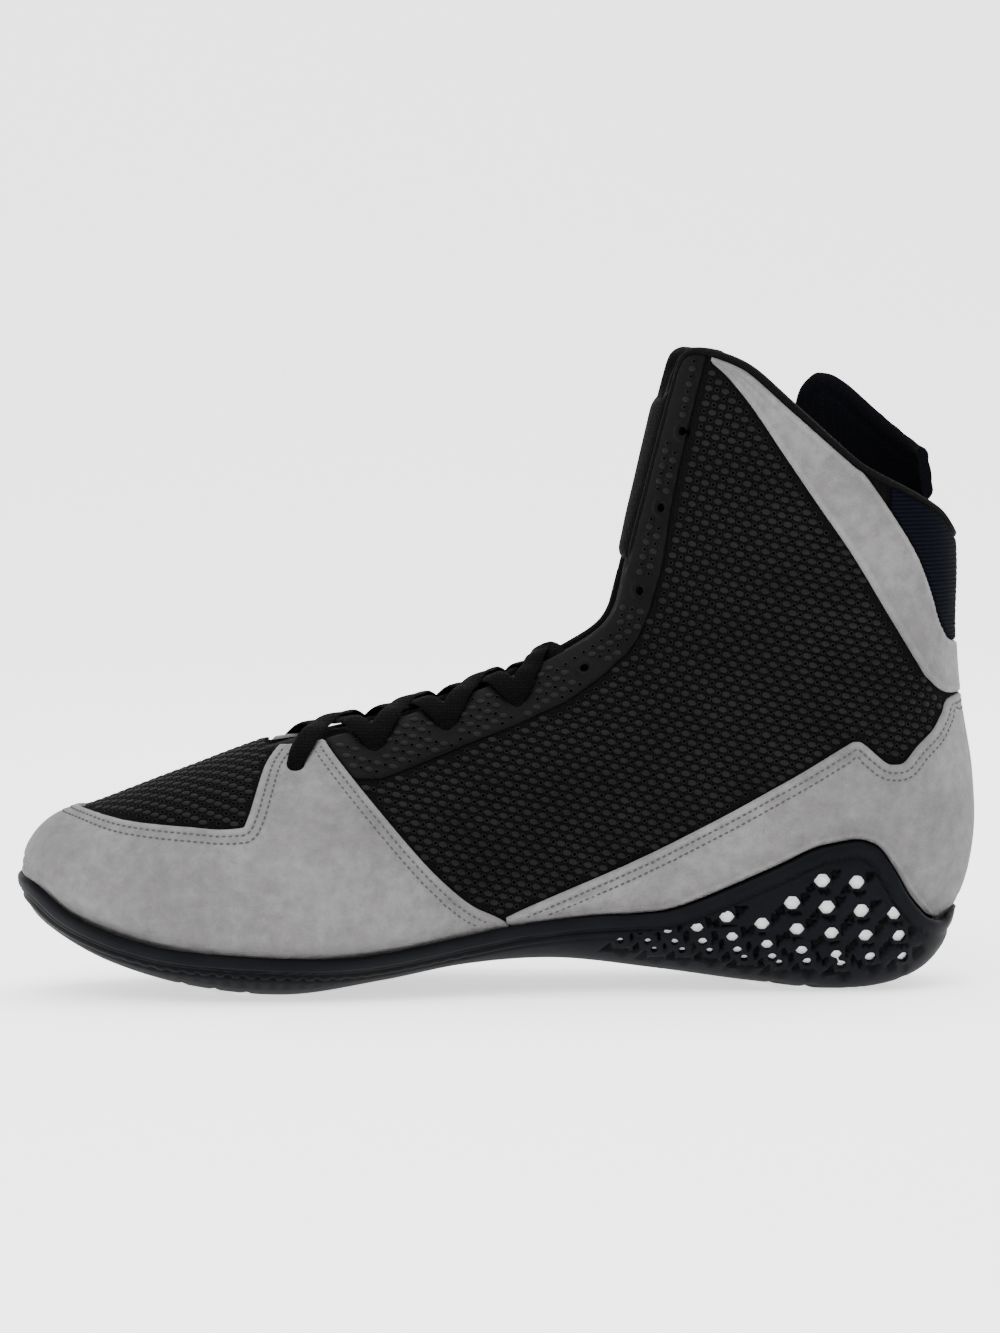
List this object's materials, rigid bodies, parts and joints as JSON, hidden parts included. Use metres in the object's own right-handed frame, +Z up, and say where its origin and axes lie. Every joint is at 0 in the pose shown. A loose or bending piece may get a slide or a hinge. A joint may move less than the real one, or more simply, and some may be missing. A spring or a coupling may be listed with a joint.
{
  "type": "wrestling shoe",
  "caption": "High-top wrestling shoe for the right foot: mesh upper with suede toe, heel and ankle band, laced throat and thin rubber sole with a lattice side.",
  "frame": {"origin": "bottom centre of the shoe's box, on the floor that the sole stands on", "axes": "-X to the toe, +X to the heel, -Y to the medial (inner) side, +Z up"},
  "size_m": [0.288, 0.0962, 0.1918],
  "materials": {
    "mesh": "black knitted mesh with raised beads and small holes",
    "rubber": "matt black moulded rubber",
    "foam": "white moulded foam",
    "lining": "fine black textile",
    "suede": "light grey suede with a short nap",
    "knit": "fine blue-black rib knit",
    "stay": "matt charcoal reinforcement film",
    "lace": "flat woven black lace"
  },
  "bodies": {
    "root": {"upper": "mesh", "outsole": "rubber", "midsole": "foam", "insole": "lining", "tongue": "lining", "lace_pocket": "lining", "toe_wrap": "suede", "heel_counter": "suede", "ankle_band": "suede", "achilles_panel": "knit", "eyestay_medial": "stay", "eyestay_lateral": "stay", "collar_binding": "lining", "collar_flap": "lining", "lace": "lace"}
  },
  "joints": []
}
